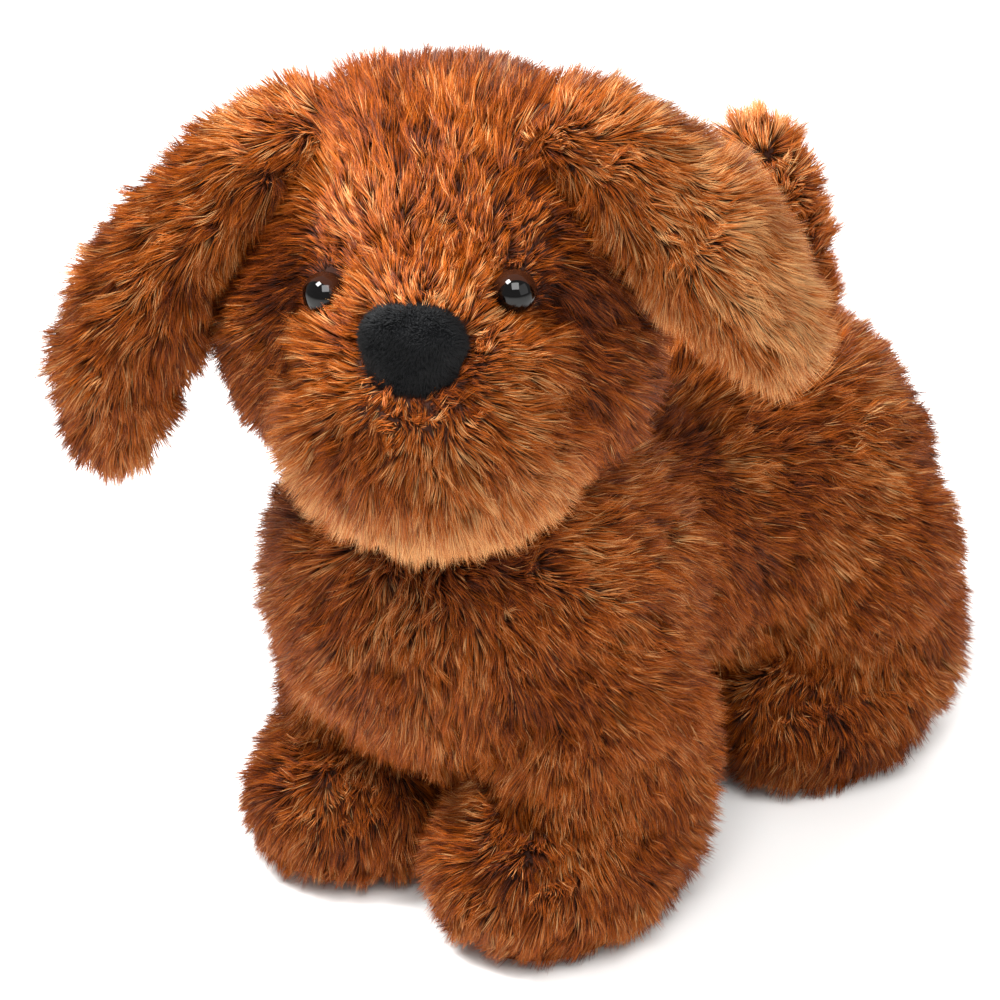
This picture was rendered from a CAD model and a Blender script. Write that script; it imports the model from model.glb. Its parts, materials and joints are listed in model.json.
import json
import math

import bmesh
import bpy
import numpy as np
from mathutils import Matrix, Vector
from mathutils.kdtree import KDTree


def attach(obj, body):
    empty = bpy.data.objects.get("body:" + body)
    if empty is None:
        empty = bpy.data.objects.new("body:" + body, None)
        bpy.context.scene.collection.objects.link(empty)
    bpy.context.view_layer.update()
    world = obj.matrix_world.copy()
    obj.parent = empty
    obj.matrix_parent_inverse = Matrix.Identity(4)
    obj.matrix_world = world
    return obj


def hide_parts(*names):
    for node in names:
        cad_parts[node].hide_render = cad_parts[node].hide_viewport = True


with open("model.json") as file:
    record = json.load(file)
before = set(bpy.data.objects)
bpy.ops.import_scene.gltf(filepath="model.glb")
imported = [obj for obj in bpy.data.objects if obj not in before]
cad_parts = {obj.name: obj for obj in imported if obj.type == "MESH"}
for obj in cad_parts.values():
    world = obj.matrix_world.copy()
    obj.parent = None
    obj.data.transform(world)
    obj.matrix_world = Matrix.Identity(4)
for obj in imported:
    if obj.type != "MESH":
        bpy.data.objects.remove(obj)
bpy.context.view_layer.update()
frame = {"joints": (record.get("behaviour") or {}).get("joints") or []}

# ---- Trunk skin ------------------------------------------------------------------------------
# The backing cloth of the chest, rump and belly panels: brown knitted polyester, sewn into a
# bag with a seam round the middle and stuffed firmly. The neck stands up from the chest.

MM = 0.001
neck_joint = [j for j in frame["joints"] if j["name"] == "neck_turn"][0]["pos_m"]
to_frame = Vector(neck_joint) - Vector((0, -68, 152)) * MM


def at(x, y, z):
    """A point in millimetres from the middle of the four feet, in the frame's metres."""
    return Vector((x, y, z)) * MM + to_frame


def linear(code):
    """An sRGB hex colour as linear red, green, blue and alpha."""
    values = [int(code[i:i + 2], 16) / 255 for i in (1, 3, 5)]
    return [v / 12.92 if v <= 0.04045 else ((v + 0.055) / 1.055) ** 2.4 for v in values] + [1.0]


def node(material, kind, links=(), **settings):
    """Adds a node with its settings; links are (input name, node, output name)."""
    made = material.node_tree.nodes.new(kind)
    for name, value in settings.items():
        if name in made.inputs:
            made.inputs[name].default_value = value
        else:
            setattr(made, name, value)
    for name, other, output in links:
        material.node_tree.links.new(other.outputs[output], made.inputs[name])
    return made


def surface(name, colour, **values):
    """A material with one Principled shader and plain values, and that shader."""
    material = bpy.data.materials.new(name)
    material.use_nodes = True
    shader = material.node_tree.nodes["Principled BSDF"]
    shader.inputs["Base Color"].default_value = linear(colour)
    for key, value in values.items():
        shader.inputs[key.replace("_", " ")].default_value = value
    return material, shader


def finished(name, bm, materials, smooth=True):
    """The mesh as an object in the scene."""
    mesh = bpy.data.meshes.new(name)
    bm.to_mesh(mesh)
    bm.free()
    for material in materials:
        mesh.materials.append(material)
    for face in mesh.polygons:
        face.use_smooth = smooth
    made = bpy.data.objects.new(name, mesh)
    bpy.context.scene.collection.objects.link(made)
    return made


def turned(x_way, z_way):
    """A turn that lays local X along x_way and local Z near z_way."""
    x = Vector(x_way).normalized()
    y = Vector(z_way).cross(x).normalized()
    z = x.cross(y)
    return Matrix((x, y, z)).transposed().to_4x4()


def stuffed(name, lumps, voxel, rounds, material):
    """Overlapping rounded lumps grown into one closed stuffed skin and smoothed. Each lump is its
    centre, its half sizes in mm and its turn; voxel is in mm."""
    bm = bmesh.new()
    for centre, sizes, turn in lumps:
        scale = Matrix.Diagonal((*[s * MM for s in sizes], 1))
        bmesh.ops.create_uvsphere(bm, u_segments=32, v_segments=20, radius=1,
                                  matrix=Matrix.Translation(centre) @ turn @ scale)
    made = finished(name, bm, [material])
    remesh = made.modifiers.new("remesh", "REMESH")
    remesh.mode = "VOXEL"
    remesh.voxel_size = voxel * MM
    smooth = made.modifiers.new("smooth", "SMOOTH")
    smooth.factor = 0.5
    smooth.iterations = rounds
    applied(made)
    return made


def applied(made):
    """The object with its modifiers made part of its mesh."""
    ready = made.evaluated_get(bpy.context.evaluated_depsgraph_get())
    mesh = bpy.data.meshes.new_from_object(ready)
    old = made.data
    made.modifiers.clear()
    made.data = mesh
    bpy.data.meshes.remove(old)
    mesh.name = made.name
    for face in mesh.polygons:
        face.use_smooth = True


STILL = Matrix.Identity(4)
# Knitted polyester backing, dyed with the pile: dull and dark, seen only between the locks.
backing, _ = surface("knitted_polyester_backing", "#351505", Roughness=0.95)

trunk_lumps = [
    (at(-4, -60, 99), (62, 55, 55), STILL),
    (at(-3, -38, 98), (57, 44, 51), STILL),
    (at(0, 4, 92), (50, 50, 45), STILL),
    (at(0, 42, 89), (56, 44, 51), STILL),
    (at(0, 67, 86), (60, 54.5, 56), STILL),
    (at(0, -64, 138), (38, 36, 24), STILL),
]
for side in (-1, 1):
    trunk_lumps.append((at(side * 34, -58, 74), (32, 33, 34), STILL))
    trunk_lumps.append((at(side * 33, 70, 68), (36, 38, 36), STILL))
trunk_skin = stuffed("trunk_skin", trunk_lumps, 4, 8, backing)
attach(trunk_skin, "trunk")
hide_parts("chest_cover_left", "chest_cover_right", "rump_cover_left",
            "rump_cover_right", "belly_gusset", "trunk_stuffing")

# ---- Trunk pile ------------------------------------------------------------------------------
# Long polyester pile knitted into the backing, about 12 mm, combed down and back and gathered
# into small locks. It is darkest at the roots, and shorter and darker on the seam at the middle.

pile, pile_shader = surface("polyester_fur_pile", "#8A4519", Roughness=0.42)
pile_shader.inputs["Specular IOR Level"].default_value = 0.15
tone = node(pile, "ShaderNodeVertexColor", layer_name="tone")
pile.node_tree.links.new(tone.outputs["Color"], pile_shader.inputs["Base Color"])

DEEP = np.array(linear("#100400")[:3])
TONES = np.array([linear(code)[:3] for code in ("#481800", "#964004", "#D46C1A", "#FFBE7C")])


def waves(points, size, seed):
    """Smooth noise from -1 to 1 that changes over about size metres."""
    rng = np.random.default_rng(seed)
    total = np.zeros(len(points))
    for _ in range(6):
        way = rng.normal(size=3)
        way = way / np.linalg.norm(way) * rng.uniform(0.7, 1.6) * 2 * math.pi / size
        total += np.sin(points @ way + rng.uniform(0, 6.28))
    return total / 2.6


def unit(vectors):
    return vectors / np.maximum(np.linalg.norm(vectors, axis=1, keepdims=True), 1e-9)


def sampled(skin, density, rng):
    """Random roots on the skin, this many to the square millimetre, with their normals."""
    mesh = skin.data
    mesh.calc_loop_triangles()
    corners = np.empty(len(mesh.vertices) * 3)
    mesh.vertices.foreach_get("co", corners)
    normals = np.empty(len(mesh.vertices) * 3)
    mesh.vertices.foreach_get("normal", normals)
    corners, normals = corners.reshape(-1, 3), normals.reshape(-1, 3)
    index = np.empty(len(mesh.loop_triangles) * 3, dtype=np.int32)
    mesh.loop_triangles.foreach_get("vertices", index)
    index = index.reshape(-1, 3)
    a, b, c = (corners[index[:, i]] for i in range(3))
    areas = np.linalg.norm(np.cross(b - a, c - a), axis=1) / 2
    number = int(areas.sum() / MM ** 2 * density)
    chosen = rng.choice(len(areas), size=number, p=areas / areas.sum())
    u, v = np.sqrt(rng.random((number, 1))), rng.random((number, 1))
    weights = (1 - u, u * (1 - v), u * v)
    roots = sum(w * corners[index[chosen, i]] for i, w in enumerate(weights))
    ways = sum(w * normals[index[chosen, i]] for i, w in enumerate(weights))
    return roots, unit(ways)


SWAY = 0.12            # how much the lean of the pile changes over a panel
SWIRL = 0.35           # how far its direction wanders to the side
RUFFLE = 0.24          # small patches that stand their own way
STRAY = 0.10           # each bundle's own direction
FOLLOW = 0.25          # how far a lock's bundles stay apart at their tips
MIDDLE_TONE = 0.47     # where the usual tip lies between the darkest and the lightest tone
FLOOR_GAP = 0.4 * MM   # the lowest a tip may reach
LONGEST = 1.08         # the pile is cut, so no bundle is much longer than its panel's length


def grow(name, skin, body, comb, keep, length, density=2.5, lean=0.5, clump=0.62, lock=1.5,
         thick=0.22, light=0.0, seed=1, coat=None):
    """Pile on one panel of a skin. comb gives the way the pile lies, keep the panel, length in mm.
    Each fibre bundle is a thin three-sided spike; neighbours draw together into locks."""
    rng = np.random.default_rng(seed)
    roots, normals = sampled(skin, density, rng)
    inside = keep(roots, normals)
    roots, normals = roots[inside], normals[inside]
    number = len(roots)
    way = comb(roots, normals)
    way = unit(way - normals * np.sum(way * normals, axis=1, keepdims=True))
    reach = length(roots) if callable(length) else np.full(number, float(length))
    leaning = lean(roots) if callable(lean) else np.full(number, float(lean))
    lighter = light(roots) if callable(light) else np.full(number, float(light))
    leaning = np.clip(leaning + SWAY * waves(roots, 0.022, seed + 5), 0.05, 0.92)[:, None]
    swirl = np.cross(normals, way) * (SWIRL * waves(roots, 0.03, seed + 9))[:, None]
    ruffle = np.stack([waves(roots, 0.009, seed + 20 + i) for i in range(3)], axis=1) * RUFFLE
    heads = unit(normals * (1 - leaning) + (way + swirl) * leaning + ruffle
                 + rng.normal(0, STRAY, (number, 3)))
    cut = rng.uniform(0.62, 1.15, number) * (1 + 0.12 * waves(roots, 0.012, seed + 3))
    reach = reach * MM * np.minimum(cut, LONGEST)
    tips = roots + heads * reach[:, None]

    # Locks: each bundle belongs to its nearest lock and its tip is drawn to that lock's tip.
    step = max(1, int(density * lock * lock))
    leaders = np.arange(0, number, step)
    tree = KDTree(len(leaders))
    for order, leader in enumerate(leaders):
        tree.insert(roots[leader], order)
    tree.balance()
    mine = np.array([tree.find(root)[1] for root in roots])
    gather = (clump * rng.uniform(0.5, 1.25, number))[:, None]
    follow = tips[leaders][mine] + (roots - roots[leaders][mine]) * FOLLOW
    tips = tips * (1 - gather) + follow * gather
    tips[:, 2] = np.maximum(tips[:, 2], FLOOR_GAP)

    # Colour of each tip: lock by lock, bundle by bundle, and slowly over the panel.
    shade = (MIDDLE_TONE + lighter + 0.10 * waves(roots, 0.035, seed + 13)
             + rng.normal(0, 0.15, len(leaders))[mine] + rng.normal(0, 0.17, number))
    shade = np.clip(shade, 0, 0.999) * (len(TONES) - 1)
    low = shade.astype(int)
    part = (shade - low)[:, None]
    ends = TONES[low] * (1 - part) + TONES[low + 1] * part

    # Three corners round the root and one at the tip, for every bundle at once. The root end is
    # inside the backing, so it has no face.
    along = unit(tips - roots)
    side = unit(np.cross(along, normals + rng.normal(0, 0.4, (number, 3))))
    other = np.cross(along, side)
    spots = np.empty((number, 4, 3))
    for corner in range(3):
        angle = corner * 2 * math.pi / 3
        spots[:, corner] = roots + (side * math.cos(angle) + other * math.sin(angle)) * thick * MM
    spots[:, 3] = tips
    tints = np.ones((number, 4, 4))
    paler = np.clip(0.04 + 0.25 * lighter, 0, 1)[:, None]
    tints[:, :3, :3] = (DEEP + (ends - DEEP) * paler)[:, None]
    tints[:, 3, :3] = ends
    corners = np.array([(0, 1, 3), (1, 2, 3), (2, 0, 3)])
    faces = (corners[None] + 4 * np.arange(number)[:, None, None]).reshape(-1, 3)
    mesh = bpy.data.meshes.new(name)
    mesh.vertices.add(number * 4)
    mesh.vertices.foreach_set("co", spots.ravel())
    mesh.loops.add(len(faces) * 3)
    mesh.loops.foreach_set("vertex_index", faces.ravel().astype(np.int32))
    mesh.polygons.add(len(faces))
    mesh.polygons.foreach_set("loop_start", np.arange(0, len(faces) * 3, 3, dtype=np.int32))
    mesh.polygons.foreach_set("use_smooth", np.ones(len(faces), dtype=bool))
    layer = mesh.color_attributes.new("tone", "FLOAT_COLOR", "POINT")
    layer.data.foreach_set("color", tints.ravel())
    mesh.update(calc_edges=True)
    mesh.materials.append(coat or pile)
    made = bpy.data.objects.new(name, mesh)
    bpy.context.scene.collection.objects.link(made)
    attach(made, body)
    return made


def mm_of(points):
    """Points in millimetres from the middle of the four feet."""
    return (points - np.array(to_frame)) / MM


GIRTH = 8.0            # how far back the seam round the trunk's middle is
HIPS = [(side * 38, -58, 66) for side in (-1, 1)] + [(side * 38, 72, 62) for side in (-1, 1)]


def trunk_free(points, normals):
    """The trunk's surface that isn't inside a leg or under the head."""
    p = mm_of(points)
    free = np.ones(len(p), dtype=bool)
    for x, y, z in HIPS:
        gap = np.hypot(p[:, 0] - x, p[:, 1] - y)
        free &= ~((gap < 21) & (p[:, 2] < z))
    free &= ~((p[:, 2] > 152) & (np.hypot(p[:, 0], p[:, 1] + 66) < 27))
    return free


def trunk_comb(points, normals):
    p = mm_of(points)
    way = np.zeros_like(p)
    way[:, 1] = np.where(p[:, 1] < GIRTH, 0.35, 0.75)
    way[:, 2] = -1.0
    way[:, 1] += np.where(p[:, 2] > 120, 0.8, 0)
    way[:, 0] = p[:, 0] * 0.008
    return way


def girth_seam(points):
    """1 on the seam round the trunk's middle, 0 away from it."""
    p = mm_of(points)
    return np.exp(-((p[:, 1] - GIRTH - 4 * np.sin(p[:, 2] / 22)) / 6.0) ** 2)


def trunk_length(points):
    p = mm_of(points)
    seam = girth_seam(points)
    middle = np.exp(-(p[:, 0] / 4.0) ** 2) * (p[:, 1] < -20)
    return 11.5 * (1 - 0.36 * seam - 0.12 * middle)


panels = {
    "chest_pile_left": lambda p: (p[:, 0] >= 0) & (p[:, 1] < GIRTH) & ~belly(p),
    "chest_pile_right": lambda p: (p[:, 0] < 0) & (p[:, 1] < GIRTH) & ~belly(p),
    "rump_pile_left": lambda p: (p[:, 0] >= 0) & (p[:, 1] >= GIRTH) & ~belly(p),
    "rump_pile_right": lambda p: (p[:, 0] < 0) & (p[:, 1] >= GIRTH) & ~belly(p),
    "belly_pile": lambda p: belly(p),
}


def belly(p):
    return (abs(p[:, 0]) < 20) & (p[:, 2] < 80) & (abs(p[:, 1]) < 110)


for number, (name, panel) in enumerate(panels.items()):
    grow(name, trunk_skin, "trunk", trunk_comb,
         lambda points, normals, panel=panel: trunk_free(points, normals) & panel(mm_of(points)),
         trunk_length, light=lambda points: -0.12 * girth_seam(points), seed=20 + number)

# ---- Neck and tail root ----------------------------------------------------------------------
# Round stuffed roots inside the fur: the head sits on the neck, the tail on its own root. Each
# turns in the trunk's cloth, so each is a short-haired ball of the same cloth.

ROOTS = (("neck", (0, -68, 152), (27, 27, 25)), ("tail_root", (0, 97, 121), (11, 11, 11)))

for body, place, sizes in ROOTS:
    skin = stuffed(body + "_skin", [(at(*place), sizes, STILL)], 2.5, 3, backing)
    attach(skin, body)
    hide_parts(body + "_stuffing")
    grow(body + "_pile", skin, body, trunk_comb,
         lambda points, normals: np.ones(len(points), dtype=bool), 7, light=-0.1, seed=33 + len(body))

# ---- Legs ------------------------------------------------------------------------------------
# Four stuffed legs of the same pile cloth, each a short thick tube with a rounded foot that
# points forwards and a flat sole. They are sewn into the trunk at the hips.

SOLE_TOP = 1.2 * MM
SOLE_HALVES = (22, 33)
# The sole is a flat oval of the same cloth with its pile worn short: matt and a little darker.
sole, _ = surface("worn_short_pile_sole", "#4A2410", Roughness=0.9)

LEG_SIZES = (("front", -58, -69, (33, 42, 25)), ("hind", 72, 64, (32, 43, 26)))

for end, hip_y, foot_y, foot_size in LEG_SIZES:
    for side, word in ((1, "left"), (-1, "right")):
        body = end + "_leg_" + word
        lumps = [
            (at(side * 36, hip_y + 3, 66), (31, 37, 32), STILL),
            (at(side * 37, hip_y + 5, 45), (30, 38, 30), STILL),
            (at(side * 37, foot_y + 14, 27), (30, 39, 26), STILL),
            (at(side * 36, foot_y, 22), foot_size, STILL),
        ]
        skin = stuffed(body + "_skin", lumps, 3.5, 6, backing)
        for vertex in skin.data.vertices:
            vertex.co.z = max(vertex.co.z, SOLE_TOP)
        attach(skin, body)
        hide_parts(body + "_cover", body + "_stuffing")

        def leg_keep(points, normals, side=side, hip_y=hip_y):
            p = mm_of(points)
            buried = (p[:, 2] > 78) | ((p[:, 2] > 52) & (p[:, 0] * side < 26))
            return ~buried & ~((normals[:, 2] < -0.75) & (p[:, 2] < 6))

        def leg_comb(points, normals, side=side, foot_y=foot_y):
            p = mm_of(points)
            way = np.zeros_like(p)
            way[:, 2] = -1.0
            low = np.clip((42 - p[:, 2]) / 25, 0, 1)
            way[:, 0] = (p[:, 0] - side * 41) / 30 * low * 1.1
            way[:, 1] = (p[:, 1] - foot_y) / 38 * low * 1.1 - 0.2
            return way

        grow(body + "_pile", skin, body, leg_comb, leg_keep,
             lambda points: 8.5 + 2.5 * np.clip(mm_of(points)[:, 2] / 45, 0, 1), light=-0.01,
             seed=40 + len(body) + side)

        bm = bmesh.new()
        bmesh.ops.create_cone(bm, cap_ends=True, segments=64, radius1=1, radius2=0.97, depth=1,
                              matrix=Matrix.Translation(at(side * 37, foot_y + 3, 0.9))
                              @ Matrix.Diagonal((SOLE_HALVES[0] * MM, SOLE_HALVES[1] * MM, MM, 1)))
        made = finished(body + "_sole_patch", bm, [sole], smooth=False)
        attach(made, body)
        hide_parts(body + "_sole")

# ---- Head skin -------------------------------------------------------------------------------
# Three panels of backing cloth: a crown over the top and a side each, stuffed hard into a ball
# with full cheeks. The head is turned to the dog's left.

TURN = math.radians(27)
LEFT = Vector((math.cos(TURN), math.sin(TURN), 0))
FRONT = Vector((math.sin(TURN), -math.cos(TURN), 0))
HEAD = at(0, -73, 206)
HEADWISE = Matrix((LEFT, -FRONT, Vector((0, 0, 1)))).transposed().to_4x4()


def on_head(sideways, forwards, up):
    """A point in the head's own frame: sideways to its left, forwards, up."""
    return HEAD + (LEFT * sideways + FRONT * forwards + Vector((0, 0, up))) * MM


head_skin = stuffed("head_skin", [
    (on_head(0, -2, 5), (54, 51, 55), HEADWISE),
    (on_head(0, 6, -16), (56, 47, 40), HEADWISE),
    (on_head(25, 6, -22), (33, 38, 31), HEADWISE),
    (on_head(-34, 3, -16), (33, 38, 38), HEADWISE),
], 3.5, 8, backing)
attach(head_skin, "head")
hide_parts("crown_panel", "head_side_left", "head_side_right", "head_stuffing")

# ---- Muzzle ----------------------------------------------------------------------------------
# A round puffy cup of pile cloth sewn to the front of the head. Its pile is brushed outwards
# from the nose all round and makes a thick soft rim.

muzzle_skin = stuffed("muzzle_skin", [
    (on_head(2, 34, -30), (42, 38, 34), HEADWISE),
    (on_head(2, 42, -26), (38, 37, 33), HEADWISE),
    (on_head(16, 36, -31), (26, 33, 26), HEADWISE),
    (on_head(-12, 36, -31), (26, 33, 26), HEADWISE),
    (on_head(19, 44, -3), (19, 17, 13), HEADWISE),
    (on_head(-15, 44, -4), (19, 17, 13), HEADWISE),
    (on_head(2, 45, 11), (21, 16, 16), HEADWISE),
], 3, 8, backing)
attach(muzzle_skin, "head")
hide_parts("muzzle_cover", "muzzle_stuffing")


def head_mm(points):
    """Points in the head's own frame, in millimetres."""
    rel = (points - np.array(HEAD)) / MM
    return np.stack([rel @ np.array(LEFT), rel @ np.array(FRONT), rel[:, 2]], axis=1)


def head_way(ways):
    """Directions in the head's own frame, turned into the frame's."""
    return (ways[:, :1] * np.array(LEFT) + ways[:, 1:2] * np.array(FRONT)
            + ways[:, 2:] * np.array((0, 0, 1.0)))


NOSE = np.array((2.0, 71.0, 4.0))
EYES = [np.array((side * 27.5, 46.0, 14.5 + side * 3)) for side in (-1, 1)]


def eye_room(q, size):
    """1 away from the eyes, 0 on them."""
    room = np.ones(len(q))
    for eye in EYES:
        room *= 1 - np.exp(-(np.linalg.norm(q - eye, axis=1) / size) ** 2)
    return room


def muzzle_keep(points, normals):
    q = head_mm(points)
    from_nose = ((q[:, 0] - NOSE[0]) / 14) ** 2 + ((q[:, 2] - NOSE[2]) / 10.3) ** 2
    under_nose = (from_nose < 1) & (q[:, 1] > 50)
    on_eye = eye_room(q, 7.5) < 0.5
    return ~under_nose & ~on_eye & (q[:, 1] > 4)


def muzzle_comb(points, normals):
    q = head_mm(points)
    away = unit(q - (NOSE + np.array((0, -6, -2))))
    edge = (np.linalg.norm(q - NOSE, axis=1) < 19) & (q[:, 2] < 0) & (waves(points, 0.005, 5) > 0.45)
    away[edge] = (0.6, 0.2, 0.9)
    return head_way(away)


def muzzle_length(points):
    q = head_mm(points)
    gap = np.linalg.norm(q - NOSE, axis=1)
    return (6.0 + 6.0 * np.clip((gap - 14) / 26, 0, 1)) * (0.5 + 0.5 * eye_room(q, 8))


def muzzle_light(points):
    q = head_mm(points)
    rim = np.clip((-q[:, 2] - 20) / 28, 0, 1)
    bridge = np.exp(-((q[:, 0] - 2) / 13) ** 2 - ((q[:, 2] - 14) / 9) ** 2)
    fade = np.clip((30 - q[:, 1]) / 14, 0, 1)
    return 0.01 + 0.42 * rim + 0.12 * bridge - 0.14 * fade


grow("muzzle_pile", muzzle_skin, "head", muzzle_comb, muzzle_keep, muzzle_length,
     density=3.0, lean=0.5, light=muzzle_light, seed=61)

# ---- Head pile -------------------------------------------------------------------------------
# The same pile on the crown and both sides: it is brushed up the forehead and back over the
# crown, stands up beside the ears' roots and lies back and down on the cheeks.


def head_keep(points, normals):
    q = head_mm(points)
    in_muzzle = (((q[:, 0] - 2) / 38) ** 2 + ((q[:, 1] - 36) / 32) ** 2 + ((q[:, 2] + 30) / 30) ** 2) < 1
    on_eye = eye_room(q, 8.5) < 0.55
    under = (q[:, 2] < -46) & (np.hypot(q[:, 0], q[:, 1]) < 26)
    return ~in_muzzle & ~on_eye & ~under


def head_comb(points, normals):
    q = head_mm(points)
    top = unit(np.stack([np.zeros(len(q)), -(q[:, 2] + 20), q[:, 1]], axis=1))
    side = np.stack([q[:, 0] * 0.004, np.full(len(q), -0.55), np.full(len(q), -1.0)], axis=1)
    turn = np.clip((abs(q[:, 0]) - 26) / 16, 0, 1)[:, None]
    turn = np.maximum(turn, np.clip((-q[:, 2] + 2) / 14, 0, 1)[:, None])
    return head_way(top * (1 - turn) + side * turn)


def head_length(points):
    q = head_mm(points)
    seam = np.exp(-((abs(q[:, 0]) - 24 - 0.12 * q[:, 1]) / 4.0) ** 2) * (q[:, 2] > 0)
    tuft = ear_root(q)
    return 10.5 * (1 - 0.3 * seam) * (0.3 + 0.7 * eye_room(q, 14)) * (1 + 0.5 * tuft)


def ear_root(q):
    """1 beside the ears' roots, where the pile stands up in tufts."""
    gap = np.hypot(abs(q[:, 0]) - 28, q[:, 2] - 50)
    return np.exp(-(gap / 9) ** 2) * (abs(q[:, 1]) < 30)


def head_lean(points):
    return 0.52 - 0.35 * ear_root(head_mm(points))


def head_light(points):
    q = head_mm(points)
    brow = np.exp(-((q[:, 2] - 8) / 12) ** 2) * (q[:, 1] > 20) * (abs(q[:, 0]) > 12)
    crease = np.exp(-((q[:, 2] - 14) / 5) ** 2) * (q[:, 1] > 30)
    return -0.07 - 0.14 * brow - 0.1 * crease - 0.07 * (abs(q[:, 0]) > 30)


def crown(q):
    return (abs(q[:, 0]) < 24) & (q[:, 2] > 0)


for number, (name, panel) in enumerate({
    "crown_pile": lambda q: crown(q),
    "head_side_pile_left": lambda q: (q[:, 0] >= 0) & ~crown(q),
    "head_side_pile_right": lambda q: (q[:, 0] < 0) & ~crown(q),
}.items()):
    grow(name, head_skin, "head", head_comb,
         lambda points, normals, panel=panel: head_keep(points, normals) & panel(head_mm(points)),
         head_length, lean=head_lean, light=head_light, seed=70 + number)

# ---- Ears ------------------------------------------------------------------------------------
# Two long flaps of pile cloth, an outer layer and a lining sewn edge to edge, lightly filled.
# Each is sewn into the top of the head, arches out and hangs down beside it.

LEFT_EAR = (
    (28, 4, 47), (40, 4, 48), (51, 6, 42), (62, 6, 33), (73, 6, 22), (83, 5, 10), (93, 4, -5),
)
RIGHT_EAR = (
    (-34, 0, 40), (-48, 2, 39), (-64, 5, 26), (-78, 9, 8), (-89, 13, -11), (-97, 16, -30), (-98, 19, -45),
)
EAR_HALVES = ((15, 9), (18, 12), (21, 14), (24, 16), (27, 18), (24, 16), (16, 11))

for word, line in (("left", LEFT_EAR), ("right", RIGHT_EAR)):
    side = 1 if word == "left" else -1
    places = [on_head(*place) for place in line]
    lumps = []
    frames = []
    for number, place in enumerate(places):
        along = (places[min(number + 1, 6)] - places[max(number - 1, 0)]).normalized()
        share = number / 6
        across = (LEFT * (side * (0.10 + 0.05 * share)) + FRONT * (-0.96 + 0.06 * share)
                  + Vector((0, 0, -0.05 - 0.3 * share)))
        across = (across - along * across.dot(along)).normalized()
        outwards = along.cross(across).normalized() * side
        frames.append((place, along, across, outwards))
        wide, deep = EAR_HALVES[number]
        lumps.append((place, (wide, deep, 15), turned(across, along)))
        if number < 6:
            between = (place + places[number + 1]) / 2
            wide_next, deep_next = EAR_HALVES[number + 1]
            halves = ((wide + wide_next) / 2, (deep + deep_next) / 2, 14)
            lumps.append((between, halves, turned(across, along)))
    skin = stuffed("ear_" + word + "_skin", lumps, 2.5, 5, backing)
    body = "ear_" + word
    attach(skin, body)
    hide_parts("ear_outer_" + word, "ear_lining_" + word)

    middles = np.array([f[0] for f in frames])
    alongs = np.array([f[1] for f in frames])
    acrosses = np.array([f[2] for f in frames])
    outs = np.array([f[3] for f in frames])

    def ear_frame(points, middles=middles, alongs=alongs, acrosses=acrosses, outs=outs):
        """For each point: how far along the ear, its own frame, and its place in it in mm."""
        gaps = np.linalg.norm(points[:, None] - middles[None], axis=2)
        weight = 1 / (gaps + 1e-5) ** 4
        weight /= weight.sum(axis=1, keepdims=True)
        share = weight @ np.arange(len(middles))
        along, across, out = (unit(weight @ v) for v in (alongs, acrosses, outs))
        rel = (points - weight @ middles) / MM
        return share, along, across, out, np.sum(rel * across, axis=1), np.sum(rel * out, axis=1)

    def ear_comb(points, normals, ear_frame=ear_frame):
        share, along, across, out, wide, deep = ear_frame(points)
        fan = np.clip((share - 1.5) / 4, 0, 1)[:, None]
        edge = np.clip(wide / 22, -1, 1)[:, None]
        return across * (0.35 + 0.5 * edge) + along * (0.8 + 0.4 * fan)

    for layer, sign in (("outer", 1), ("lining", -1)):
        grow("ear_" + layer + "_pile_" + word, skin, body, ear_comb,
             lambda points, normals, ear_frame=ear_frame, sign=sign: (
                 (ear_frame(points)[5] * sign > 0) & (ear_frame(points)[0] > 0.3)),
             lambda points: np.full(len(points), 11.5), lean=0.5,
             light=lambda points, ear_frame=ear_frame, side=side, sign=sign: (
                 0.02 + (0.07 if sign > 0 else 0.04) * ear_frame(points)[0] * (side > 0)
                 - 0.1 * np.exp(-((ear_frame(points)[4] - 6) / 4) ** 2) * (sign > 0)),
             seed=80 + side + 3 * sign)

# ---- Tail ------------------------------------------------------------------------------------
# A stuffed leaf-shaped tail in two panels that stands up from the rump, its pile brushed up.

TAIL = ((0, 97, 121), (0, 92, 140), (0, 87, 162), (0, 80, 182), (0, 75, 197))
TAIL_HALVES = ((11, 9), (14, 11), (14, 11), (12, 9.5), (8, 6.5))
lumps = []
for number, place in enumerate(TAIL):
    along = (at(*TAIL[min(number + 1, 4)]) - at(*TAIL[max(number - 1, 0)])).normalized()
    wide, deep = TAIL_HALVES[number]
    lumps.append((at(*place), (wide, deep, 15 if number < 4 else 6), turned((1, 0, 0), along)))
tail_skin = stuffed("tail_skin", lumps, 2.5, 5, backing)
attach(tail_skin, "tail")
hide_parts("tail_cover_left", "tail_cover_right", "tail_stuffing")


def tail_comb(points, normals):
    p = mm_of(points)
    way = np.zeros_like(p)
    way[:, 2] = 1.0
    way[:, 1] = -0.25
    return way + normals * 0.1


grow("tail_pile", tail_skin, "tail", tail_comb,
     lambda points, normals: mm_of(points)[:, 2] > 118,
     lambda points: 9.0 + 3.0 * np.clip((mm_of(points)[:, 2] - 130) / 40, 0, 1),
     lean=lambda points: 0.5 - 0.22 * np.clip((mm_of(points)[:, 2] - 184) / 14, 0, 1),
     density=3.2, light=lambda points: 0.11 * np.clip((mm_of(points)[:, 2] - 160) / 35, 0, 1), seed=95)

# ---- Nose ------------------------------------------------------------------------------------
# A rounded pad of short-napped black cloth sewn to the top front of the muzzle.

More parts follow.
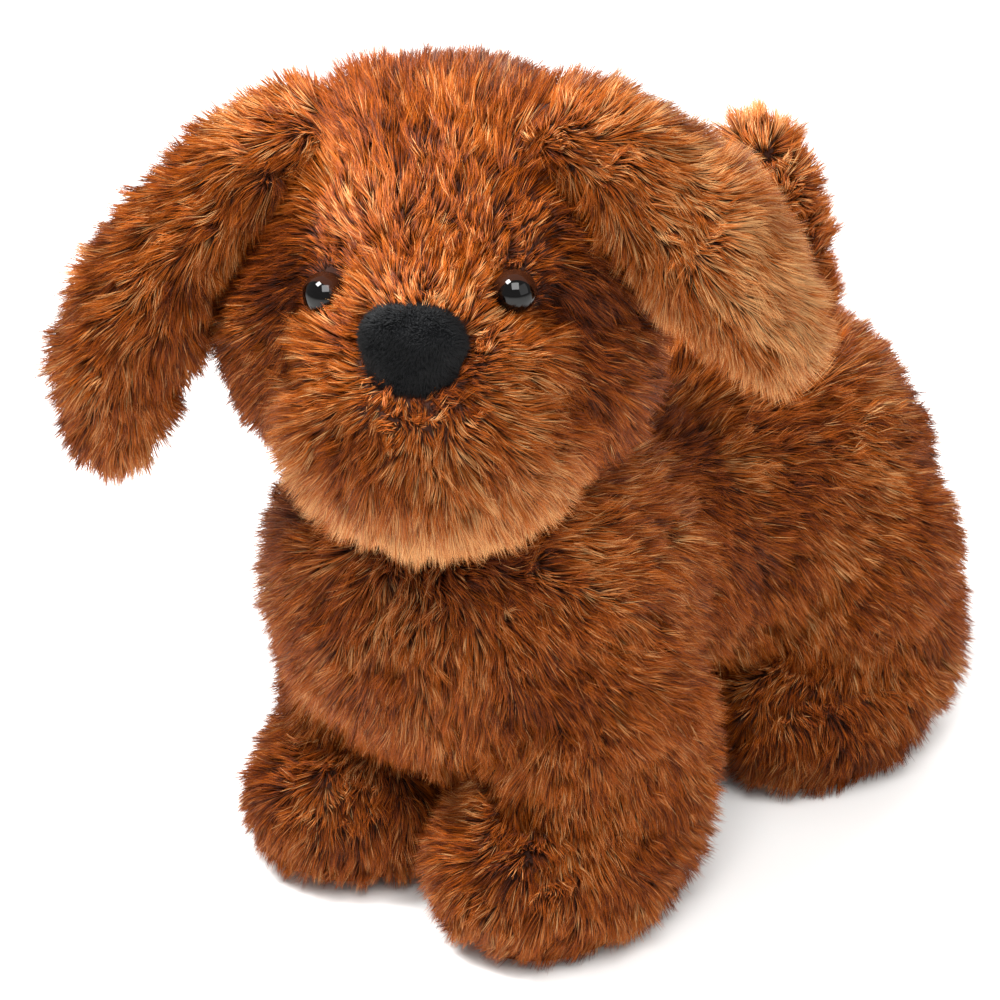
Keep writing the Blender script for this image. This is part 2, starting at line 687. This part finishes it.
# Brushed black cloth: no shine, a grey bloom where the nap catches light.
nose_cloth, nose_shader = surface("napped_black_cloth", "#0B0C0E", Roughness=0.95)
nose_shader.inputs["Specular IOR Level"].default_value = 0.2
nose_skin = stuffed("nose_pad", [
    (on_head(2, 64, 5), (13.5, 8.5, 13), HEADWISE),
    (on_head(-3, 63.5, 8), (10, 8, 9), HEADWISE),
    (on_head(7, 63.5, 8), (10, 8, 9), HEADWISE),
    (on_head(2, 64, 0), (12.5, 8, 10.5), HEADWISE),
], 1.6, 5, nose_cloth)
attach(nose_skin, "head")
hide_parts("nose")

# The nap: short soft fibres brushed down, the same black.
nap, nap_shader = surface("black_nap", "#0B0C0E", Roughness=0.6)
nap_shader.inputs["Specular IOR Level"].default_value = 0.3
grow("nose_nap", nose_skin, "head",
     lambda points, normals: np.tile((0.2, 0, -1.0), (len(points), 1)),
     lambda points, normals: head_mm(points)[:, 1] > 58,
     2.2, density=7, lean=0.3, thick=0.15, lock=0.8, clump=0.5, seed=98, coat=nap)

# ---- Eyes ------------------------------------------------------------------------------------
# Domed plastic safety eyes of 12 mm, a dark brown ring round a black pupil, polished. Their
# shanks are locked by washers inside the head.

EYE_RADIUS = 6.4
PUPIL_EDGE = math.cos(math.radians(56))

# Acrylic, moulded and polished: a sharp highlight.
iris, iris_shader = surface("brown_acrylic", "#2B140A", Roughness=0.06, IOR=1.49)
pupil, pupil_shader = surface("black_acrylic", "#030202", Roughness=0.05, IOR=1.49)
for shader in (iris_shader, pupil_shader):
    shader.inputs["Specular IOR Level"].default_value = 0.32
for word, side in (("left", 1), ("right", -1)):
    look = (LEFT * (side * 0.30) + FRONT * 0.95 + Vector((0, 0, -0.02))).normalized()
    place = on_head(side * 27.5, 46.5, 14.5 + side * 3)
    bm = bmesh.new()
    facing = look.to_track_quat("Z", "Y").to_matrix().to_4x4()
    bmesh.ops.create_uvsphere(bm, u_segments=48, v_segments=32, radius=EYE_RADIUS * MM,
                              matrix=Matrix.Translation(place) @ facing)
    made = finished("eye_" + word + "_dome", bm, [iris, pupil])
    for face in made.data.polygons:
        if (face.center - place).normalized().dot(look) > PUPIL_EDGE:
            face.material_index = 1
    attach(made, "head")
    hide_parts("eye_" + word)

# ---- Floor, light and camera -----------------------------------------------------------------
# A pale matte floor, a key from the upper left of the camera, a broad window beside the camera
# that shows in the eyes, weak fill and a lamp from behind.

floor_paint, _ = surface("pale_matte_floor", "#F4F3F1", Roughness=0.9)
bm = bmesh.new()
bmesh.ops.create_grid(bm, x_segments=1, y_segments=1, size=6)
floor = finished("floor", bm, [floor_paint], smooth=False)

AZIMUTH, ELEVATION = math.radians(39), math.radians(27)
BACK = Vector((math.sin(AZIMUTH) * math.cos(ELEVATION), -math.cos(AZIMUTH) * math.cos(ELEVATION),
               math.sin(ELEVATION)))
RIGHT = Vector((math.cos(AZIMUTH), math.sin(AZIMUTH), 0))
UP = BACK.cross(RIGHT)
aim = at(0, 0, 0) + (RIGHT * -32.8 + UP * 91.5) * MM
DISTANCE = 1.8         # metres from the camera to the middle of the picture
SEEN = 0.316           # metres across the picture at that distance


def lamp(name, way, size, power):
    """A square white lamp, this far from the middle of the picture and facing it."""
    light = bpy.data.lights.new(name, "AREA")
    light.size = size
    light.energy = power
    made = bpy.data.objects.new(name, light)
    made.location = aim + way
    made.rotation_euler = way.to_track_quat("Z", "Y").to_euler()
    bpy.context.scene.collection.objects.link(made)


lamp("key", BACK * 0.9 + UP * 1.1 - RIGHT * 0.7, 0.5, 40)
lamp("window", BACK * 1.6 + UP * 0.75 + RIGHT * 0.1, 1.0, 32)
lamp("fill", BACK * 1.3 + RIGHT * 1.2 + UP * 0.3, 1.4, 8)
lamp("rim", -BACK * 0.8 + UP * 1.4 + RIGHT * 0.5, 1.0, 20)

world = bpy.data.worlds.new("studio")
bpy.context.scene.world = world
world.use_nodes = True
world.node_tree.nodes["Background"].inputs["Color"].default_value = linear("#FFFFFF")
world.node_tree.nodes["Background"].inputs["Strength"].default_value = 0.45

lens = bpy.data.cameras.new("camera")
lens.sensor_width = 36
lens.lens = lens.sensor_width * DISTANCE / SEEN
lens.clip_end = 20
camera = bpy.data.objects.new("camera", lens)
camera.location = aim + BACK * DISTANCE
camera.rotation_euler = BACK.to_track_quat("Z", "Y").to_euler()
bpy.context.scene.collection.objects.link(camera)
bpy.context.scene.camera = camera
bpy.context.scene.view_settings.view_transform = "Standard"
